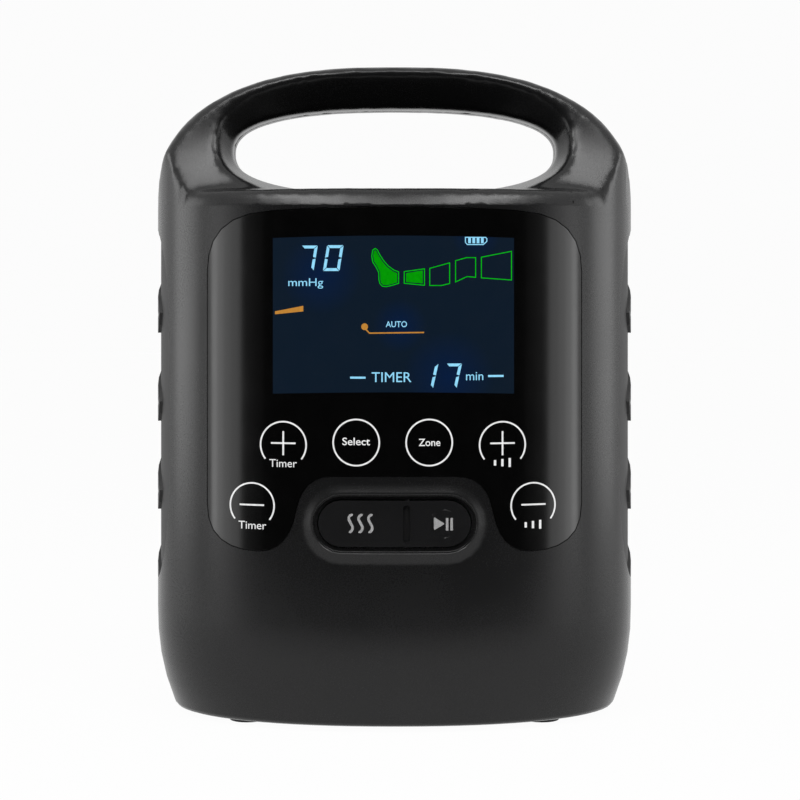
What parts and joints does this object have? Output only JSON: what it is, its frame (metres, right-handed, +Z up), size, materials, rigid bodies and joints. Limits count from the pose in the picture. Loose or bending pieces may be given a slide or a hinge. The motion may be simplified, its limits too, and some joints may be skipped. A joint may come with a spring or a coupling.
{
  "type": "compression therapy pump",
  "caption": "Carried air pump for compression therapy: bowed cabinet with a grip opening under an arched top, glossy key panel with screen, two-way start key and side grips.",
  "frame": {"origin": "on the table, under the middle of the overall width and depth", "axes": "+Z up, the panel faces -Y, +X to the right of a user who faces the panel"},
  "size_m": [0.186, 0.1114, 0.25],
  "materials": {
    "shell_plastic": "fine satin texture",
    "panel_gloss": "polished",
    "key_plastic": "satin",
    "pin_steel": "ground",
    "grip_rubber": "matt, moulded ribs",
    "foot_rubber": "matt",
    "screw_steel": "zinc plated",
    "screen_glass": "polished",
    "board_laminate": "solder mask",
    "part_plastic": "satin",
    "battery_wrap": "shrink sleeve",
    "motor_steel": "rolled",
    "pump_plastic": "glass filled",
    "valve_plastic": "natural",
    "tube_plastic": "milky silicone"
  },
  "bodies": {
    "cabinet": {"foot_front_left": "foot_rubber", "foot_front_right": "foot_rubber", "foot_rear_left": "foot_rubber", "foot_rear_right": "foot_rubber", "front_shell": "shell_plastic", "rear_shell": "shell_plastic", "front_lens": "panel_gloss", "key_pin": "pin_steel", "left_grip": "grip_rubber", "right_grip": "grip_rubber", "shell_screw_1": "screw_steel", "shell_screw_2": "screw_steel", "shell_screw_3": "screw_steel", "shell_screw_4": "screw_steel", "shell_screw_5": "screw_steel", "shell_screw_6": "screw_steel", "display_module": "screen_glass", "control_board": "board_laminate", "board_screw_1": "screw_steel", "board_screw_2": "screw_steel", "board_screw_3": "screw_steel", "board_screw_4": "screw_steel", "key_switch_left": "part_plastic", "key_switch_right": "part_plastic", "pressure_sensor": "part_plastic", "buzzer": "part_plastic", "battery_pack": "battery_wrap", "battery_tray": "part_plastic", "pump_motor": "motor_steel", "pump_crankcase": "pump_plastic", "crankcase_cover": "pump_plastic", "pump_head": "pump_plastic", "crankcase_mount": "foot_rubber", "motor_mount": "foot_rubber", "valve_block": "valve_plastic", "valve_1": "part_plastic", "valve_2": "part_plastic", "valve_3": "part_plastic", "valve_4": "part_plastic", "hose_socket_left": "part_plastic", "hose_socket_right": "part_plastic", "outlet_tube_left": "tube_plastic", "outlet_tube_right": "tube_plastic", "feed_tube": "tube_plastic", "fan_frame": "part_plastic", "adaptor_inlet": "part_plastic", "power_switch": "part_plastic", "supply_board": "board_laminate"},
    "rocker_key": {"rocker_key": "key_plastic"},
    "power_rocker": {"power_rocker": "key_plastic"},
    "fan_rotor": {"fan_rotor": "part_plastic"},
    "pump_shaft": {"pump_shaft": "pin_steel"},
    "valve_plunger_1": {"valve_plunger_1": "pin_steel"},
    "valve_plunger_2": {"valve_plunger_2": "pin_steel"},
    "valve_plunger_3": {"valve_plunger_3": "pin_steel"},
    "valve_plunger_4": {"valve_plunger_4": "pin_steel"}
  },
  "joints": [
    {"name": "key_rock", "type": "hinge", "parent": "cabinet", "child": "rocker_key", "pos_m": [0.0045, -0.04972, 0.078], "axis": [0, 0, 1], "range_deg": [-2, 2], "stiffness_Nm_per_rad": 0.3},
    {"name": "power_tilt", "type": "hinge", "parent": "cabinet", "child": "power_rocker", "pos_m": [-0.046, 0.04918, 0.022], "axis": [0, 0, 1], "range_deg": [-16, 0]},
    {"name": "fan_spin", "type": "hinge", "parent": "cabinet", "child": "fan_rotor", "pos_m": [0, 0.04677, 0.05], "axis": [0, 1, 0], "continuous": true},
    {"name": "pump_spin", "type": "hinge", "parent": "cabinet", "child": "pump_shaft", "pos_m": [-0.02, 0.00568, 0.038], "axis": [1, 0, 0], "continuous": true},
    {"name": "valve_1_stroke", "type": "slide", "parent": "cabinet", "child": "valve_plunger_1", "axis": [0, 1, 0], "range_m": [0, 0.0018], "stiffness_N_per_m": 200},
    {"name": "valve_2_stroke", "type": "slide", "parent": "cabinet", "child": "valve_plunger_2", "axis": [0, 1, 0], "range_m": [0, 0.0018], "stiffness_N_per_m": 200},
    {"name": "valve_3_stroke", "type": "slide", "parent": "cabinet", "child": "valve_plunger_3", "axis": [0, 1, 0], "range_m": [0, 0.0018], "stiffness_N_per_m": 200},
    {"name": "valve_4_stroke", "type": "slide", "parent": "cabinet", "child": "valve_plunger_4", "axis": [0, 1, 0], "range_m": [0, 0.0018], "stiffness_N_per_m": 200}
  ]
}
